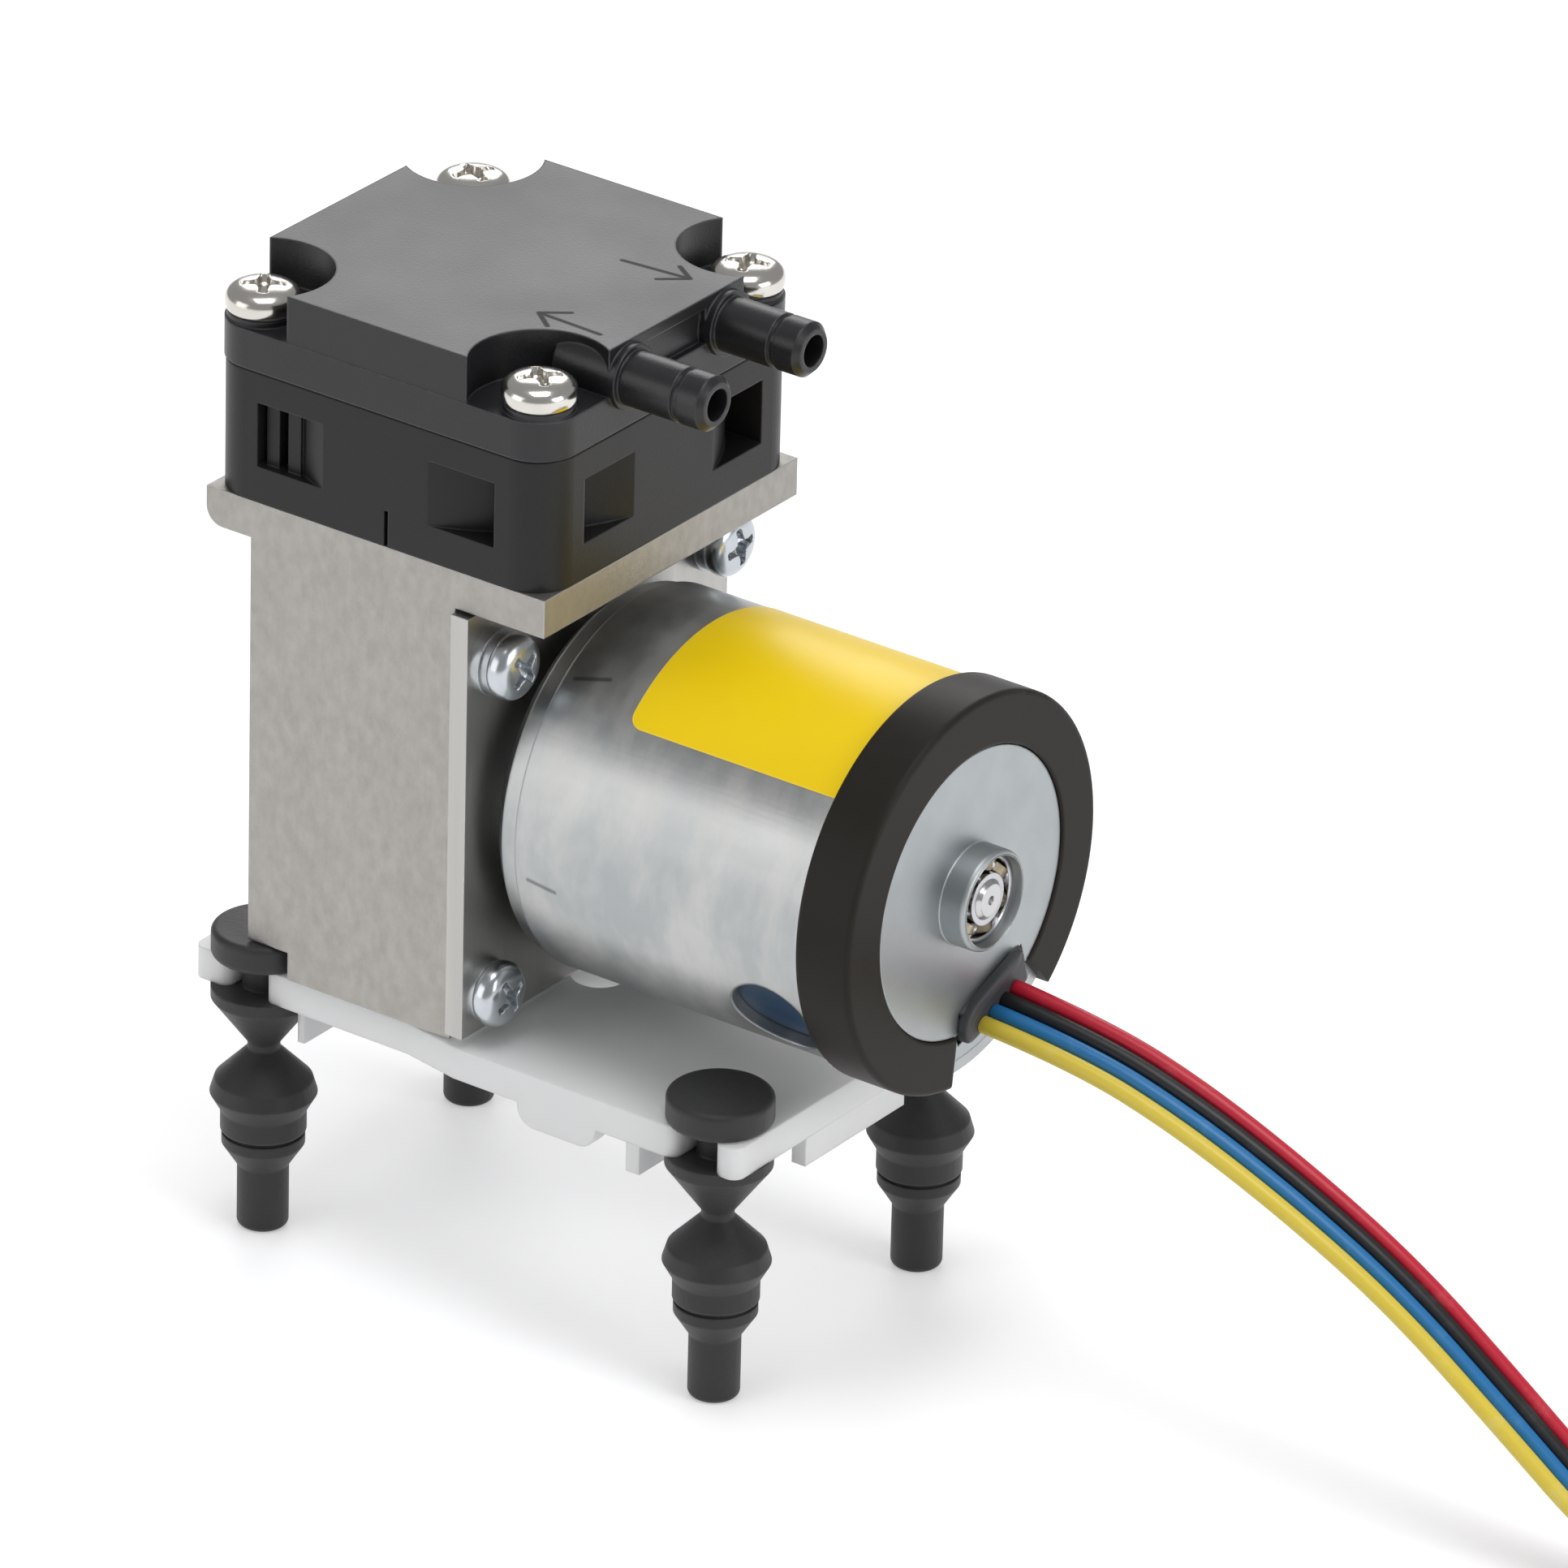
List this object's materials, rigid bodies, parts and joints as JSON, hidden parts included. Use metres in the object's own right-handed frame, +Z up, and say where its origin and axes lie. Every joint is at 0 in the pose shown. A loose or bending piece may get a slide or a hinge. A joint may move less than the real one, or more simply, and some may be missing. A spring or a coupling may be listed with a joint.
{
  "type": "diaphragm vacuum pump",
  "caption": "Small electric diaphragm pump: square two-port head on an aluminium crank housing, brushless can motor, nylon base plate with rubber feet and loose motor leads.",
  "frame": {"origin": "middle of the pump's box, leads left out, at the level of the feet's tips", "axes": "+X along the motor's axis from the head to the motor's rear, +Z up from the feet to the head cover, +Y to the side of the port on the far side of the picture's view"},
  "size_m": [0.1506, 0.0326, 0.0762],
  "materials": {
    "black_plastic_cover": "satin",
    "black_plastic": "satin",
    "seal_rubber": "matte",
    "flap_rubber": "matte",
    "diaphragm_rubber": "matte",
    "foot_rubber": "satin",
    "cast_aluminium": "brushed",
    "plate_aluminium": "brushed",
    "turned_aluminium": "satin",
    "rod_plastic": "satin",
    "turned_brass": "satin",
    "black_steel": "satin",
    "nickel_screw": "polished",
    "zinc_screw": "polished",
    "washer_steel": "satin",
    "zinc_can": "satin",
    "zinc_cap": "satin",
    "ring_plastic": "satin",
    "label_yellow": "satin",
    "stator_steel": "satin",
    "copper_wire": "enamelled",
    "insulator_blue": "matte",
    "board_green": "satin",
    "magnet_grey": "satin",
    "shaft_steel": "polished",
    "bearing_steel": "polished",
    "nylon_white": "satin",
    "outlet_plastic": "matte",
    "wire_red": "satin",
    "wire_black": "satin",
    "wire_blue": "satin",
    "wire_yellow": "satin",
    "tinned_copper": "satin"
  },
  "bodies": {
    "root": {"base_plate": "nylon_white", "base_screws": "zinc_screw", "diaphragm": "diaphragm_rubber", "driver_board": "board_green", "flat_washers": "washer_steel", "foot_front_far": "foot_rubber", "foot_front_near": "foot_rubber", "foot_rear_far": "foot_rubber", "foot_rear_near": "foot_rubber", "front_bearing_outer": "bearing_steel", "head_body": "black_plastic", "head_cover": "black_plastic_cover", "head_screws": "nickel_screw", "housing": "cast_aluminium", "lead_black": "wire_black", "lead_blue": "wire_blue", "lead_end_black": "tinned_copper", "lead_end_blue": "tinned_copper", "lead_end_red": "tinned_copper", "lead_end_yellow": "tinned_copper", "lead_red": "wire_red", "lead_yellow": "wire_yellow", "motor_can": "zinc_can", "motor_end_cap": "zinc_cap", "motor_end_ring": "ring_plastic", "motor_label": "label_yellow", "motor_plate": "plate_aluminium", "motor_screws": "zinc_screw", "plate_screws": "zinc_screw", "rear_bearing_outer": "bearing_steel", "spring_washers": "washer_steel", "stator_core": "stator_steel", "stator_insulator": "insulator_blue", "valve_plate": "black_plastic", "valve_seal": "seal_rubber", "windings": "copper_wire", "wire_outlet": "outlet_plastic"},
    "rotor": {"motor_shaft": "shaft_steel", "rotor_core": "stator_steel", "rotor_magnet": "magnet_grey", "eccentric": "turned_brass", "set_screw": "black_steel", "front_bearing_inner": "bearing_steel", "rear_bearing_inner": "bearing_steel", "rod_bearing_inner": "bearing_steel"},
    "rod": {"connecting_rod": "rod_plastic", "rod_bearing_outer": "bearing_steel", "diaphragm_retainer": "turned_aluminium", "retainer_screw": "nickel_screw"},
    "intake_flap": {"intake_flap": "flap_rubber"},
    "exhaust_flap": {"exhaust_flap": "flap_rubber"}
  },
  "joints": [
    {"name": "shaft_spin", "type": "hinge", "parent": "root", "child": "rotor", "pos_m": [-0.0137, 0, 0.03906], "axis": [1, 0, 0], "continuous": true, "deforming": ["diaphragm"]},
    {"name": "rod_swing", "type": "hinge", "parent": "rotor", "child": "rod", "pos_m": [-0.0137, 0, 0.03806], "axis": [1, 0, 0], "continuous": true},
    {"name": "intake_flap_hinge", "type": "hinge", "parent": "root", "child": "intake_flap", "pos_m": [-0.0172, -0.0056, 0.06313], "axis": [0, 1, 0], "range_deg": [0, 8], "stiffness_Nm_per_rad": 0.0002},
    {"name": "exhaust_flap_hinge", "type": "hinge", "parent": "root", "child": "exhaust_flap", "pos_m": [-0.0172, 0.0056, 0.06327], "axis": [0, -1, 0], "range_deg": [0, 8], "stiffness_Nm_per_rad": 0.0002}
  ],
  "couplings": [
    {"joint": "rod_swing", "follows": "shaft_spin", "ratio": -1}
  ]
}
